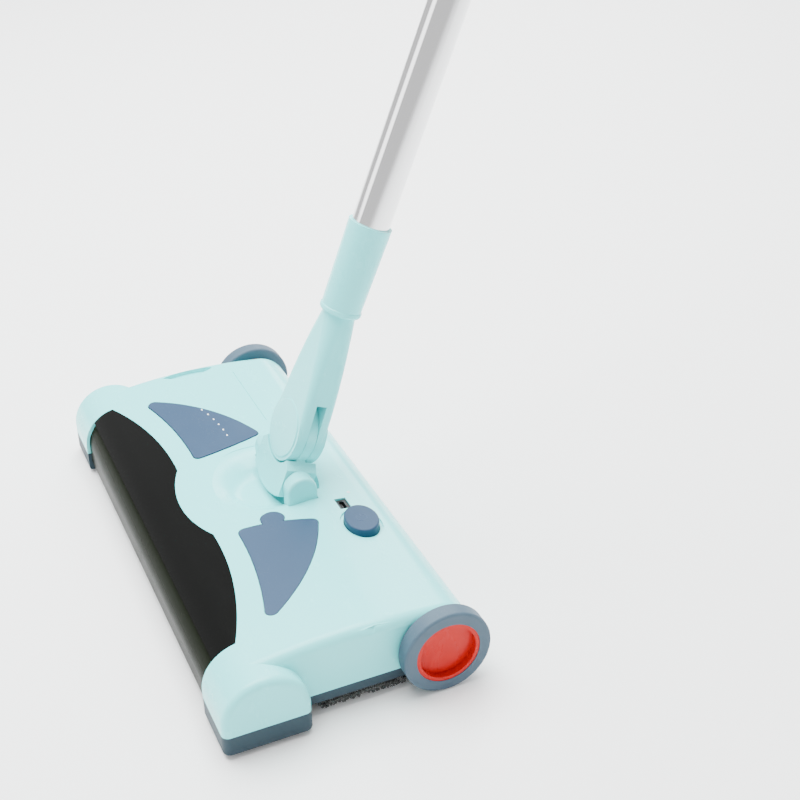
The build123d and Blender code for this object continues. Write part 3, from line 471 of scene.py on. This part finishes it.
def makeBristles():
    low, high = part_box("brush_bristles")
    core = (low + high) / 2
    span = high.x - low.x - bristles["endGap"]
    points, faces = [], []
    for row in range(bristles["rows"]):
        for i in range(bristles["tuftsPerRow"]):
            x = span * (i / (bristles["tuftsPerRow"] - 1) - 0.5)
            turn = math.radians(360 * row / bristles["rows"] + abs(x) * 1000 * bristles["twist"])
            out = Vector((0, -math.sin(turn), math.cos(turn)))
            side = Vector((0, math.cos(turn), math.sin(turn)))
            for hair in range(bristles["hairs"]):
                a, r = random.uniform(0, 2 * math.pi), bristles["tuft"] * math.sqrt(random.random())
                foot = Vector((x + r * math.cos(a), core.y, core.z)) + side * r * math.sin(a)
                lean = Vector((random.gauss(0, bristles["lean"]), 0, 0))
                lean += side * random.gauss(0, bristles["lean"])
                reach = bristles["tipR"] - random.random() * bristles["uneven"]
                tipAt = foot + out * reach + lean * bristles["splay"]
                rootAt = foot + out * bristles["rootR"]
                base = len(points)
                for end, width in ((rootAt, 1.0), (tipAt, bristles["tipWidth"])):
                    for k in range(3):
                        t = 2 * math.pi * k / 3
                        ringWay = Vector((1, 0, 0)) * math.cos(t) + side * math.sin(t)
                        points.append(end + ringWay * bristles["hair"] * width)
                faces += [(base, base + 1, base + 4, base + 3), (base + 1, base + 2, base + 5, base + 4),
                          (base + 2, base, base + 3, base + 5), (base + 3, base + 4, base + 5)]
    piece = addMesh("bristleHairs", points, faces, "bristle", "brush")
    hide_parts("brush_bristles")


makeBristles()
print("brush hairs made")

pad = {
    "pile": 0.0017, "loops": 5200, "edgeLoops": 1500, "corner": 0.0045, "rim": 0.0011, "strand": 0.00026,
    "edgeFoot": (0.0012, 0.0040), "edgeTall": (0.0010, 0.0016), "tall": (0.0007, 0.0010),
    "edgeSink": 0.0004, "sink": 0.0003, "margin": 0.002,
}


def loopStrand(points, faces, foot, way, side, tall, thick):
    # one looped strand: three-sided tube along a half ring
    steps = 5
    base = len(points)
    for s in range(steps + 1):
        t = math.pi * s / steps
        centre = foot + side * math.cos(t) * tall * 0.4 + way * math.sin(t) * tall
        for k in range(3):
            a = 2 * math.pi * k / 3
            cross = way.cross(side)
            outward = side * math.cos(t) + way * math.sin(t)
            points.append(centre + cross * math.cos(a) * thick + outward * math.sin(a) * thick)
    for s in range(steps):
        for k in range(3):
            a, b = base + s * 3 + k, base + s * 3 + (k + 1) % 3
            faces.append((a, b, b + 3, a + 3))


def makePad():
    low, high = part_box("mop_pad")
    form = bmesh.new()
    bmesh.ops.create_cube(form, size=1.0)
    inset = pad["pile"] * 0.6
    size = Vector((high.x - low.x - 2 * inset, high.y - low.y - 2 * inset, high.z - low.z - inset))
    centre = Vector(((low.x + high.x) / 2, (low.y + high.y) / 2, (high.z + low.z + inset) / 2))
    for v in form.verts:
        v.co = Vector((v.co.x * size.x, v.co.y * size.y, v.co.z * size.z)) + centre
    upright = [e for e in form.edges if abs((e.verts[0].co - e.verts[1].co).normalized().z) > 0.9]
    bmesh.ops.bevel(form, geom=upright, offset=pad["corner"], segments=5, affect="EDGES")
    rims = [e for e in form.edges if abs((e.verts[0].co - e.verts[1].co).normalized().z) < 0.1]
    bmesh.ops.bevel(form, geom=rims, offset=pad["rim"], segments=3, affect="EDGES")
    mesh = bpy.data.meshes.new("padCore")
    form.to_mesh(mesh)
    form.free()
    points = [v.co.copy() for v in mesh.vertices]
    faces = [tuple(f.vertices) for f in mesh.polygons]
    bpy.data.meshes.remove(mesh)
    up = Vector((0, 0, 1))
    for i in range(pad["edgeLoops"]):
        along = random.random() * 2 * (size.x + size.y)
        x0, x1, y0, y1 = low.x + inset, high.x - inset, low.y + inset, high.y - inset
        if along < size.x:
            foot, way = Vector((x0 + along, y0, 0)), Vector((0, -1, 0))
        elif along < 2 * size.x:
            foot, way = Vector((x0 + along - size.x, y1, 0)), Vector((0, 1, 0))
        elif along < 2 * size.x + size.y:
            foot, way = Vector((x0, y0 + along - 2 * size.x, 0)), Vector((-1, 0, 0))
        else:
            foot, way = Vector((x1, y0 + along - 2 * size.x - size.y, 0)), Vector((1, 0, 0))
        foot.z = low.z + random.uniform(*pad["edgeFoot"])
        side = way.cross(up)
        side = (side * math.cos(i) + up * math.sin(i) * 0.4).normalized()
        tall = random.uniform(*pad["edgeTall"])
        loopStrand(points, faces, foot - way * pad["edgeSink"], way, side, tall, pad["strand"])
    for i in range(pad["loops"]):
        footX = random.uniform(low.x + pad["margin"], high.x - pad["margin"])
        footY = random.uniform(low.y + pad["margin"], high.y - pad["margin"])
        foot = Vector((footX, footY, low.z + inset + pad["sink"]))
        turn = random.random() * math.pi
        side = Vector((math.cos(turn), math.sin(turn), 0))
        loopStrand(points, faces, foot, -up, side, random.uniform(*pad["tall"]), pad["strand"])
    piece = addMesh("padPile", points, faces, "pad", "head")
    for face in piece.data.polygons:
        face.use_smooth = True
    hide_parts("mop_pad")


makePad()
print("mop pad made")

mark = {
    "ring": 0.0030, "line": 0.00042, "gap": 35, "proud": 0.00006, "sunk": 0.0001,
    "stroke": (-0.0040, -0.0006),  # ends of the bar, from the button's middle
}


def makePowerMark():
    low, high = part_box("power_button")
    centre = Vector(((low.x + high.x) / 2, (low.y + high.y) / 2, high.z - mark["sunk"]))
    points, faces = [], []
    steps = 40
    for s in range(steps + 1):
        a = math.radians(mark["gap"] + (360 - 2 * mark["gap"]) * s / steps)
        for r in (mark["ring"] - mark["line"], mark["ring"] + mark["line"]):
            for z in (0, mark["proud"] + mark["sunk"]):
                points.append(centre + Vector((-math.cos(a) * r, math.sin(a) * r, z)))
    for s in range(steps):
        b = s * 4
        for i, j in ((0, 1), (1, 3), (3, 2), (2, 0)):
            faces.append((b + i, b + j, b + j + 4, b + i + 4))
    base = len(points)
    for z in (0, mark["proud"] + mark["sunk"]):
        x0, x1 = mark["stroke"]
        for x, y in ((x0, -mark["line"]), (x1, -mark["line"]), (x1, mark["line"]), (x0, mark["line"])):
            points.append(centre + Vector((x, y, z)))
    faces += [(base + 3, base + 2, base + 1, base), (base + 4, base + 5, base + 6, base + 7)]
    faces += [(base + i, base + (i + 1) % 4, base + 4 + (i + 1) % 4, base + 4 + i) for i in range(4)]
    addMesh("powerMark", points, faces, "grip", "button")


makePowerMark()
print("button mark made")

gripRibs = {
    "count": 15, "pitch": 0.0062, "ring": 0.0149, "bead": 0.0009, "beadStretch": 1.6, "turns": 48, "around": 8}


def makeGripRibs():
    low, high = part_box("grip")
    centre = (low + high) / 2
    joints = frame["record"]["behaviour"]["joints"]
    axis = Vector(next(j["axis"] for j in joints if j["name"] == "tube_slide")).normalized()
    across = Vector((1, 0, 0))
    other = axis.cross(across)
    points, faces = [], []
    for i in range(gripRibs["count"]):
        middle = centre + axis * gripRibs["pitch"] * (i - (gripRibs["count"] - 1) / 2)
        base, turns, around = len(points), gripRibs["turns"], gripRibs["around"]
        for s in range(turns):
            a = 2 * math.pi * s / turns
            out = across * math.cos(a) + other * math.sin(a)
            for k in range(around):
                b = 2 * math.pi * k / around
                reach = out * (gripRibs["ring"] + gripRibs["bead"] * math.cos(b))
                points.append(middle + reach + axis * gripRibs["bead"] * gripRibs["beadStretch"] * math.sin(b))
        for s in range(turns):
            for k in range(around):
                p, q = base + s * around, base + (s + 1) % turns * around
                faces.append((p + k, q + k, q + (k + 1) % around, p + (k + 1) % around))
    ribs = addMesh("gripRibs", points, faces, "grip", "upper_handle")
    for face in ribs.data.polygons:
        face.use_smooth = True


makeGripRibs()
print("grip ribs made")
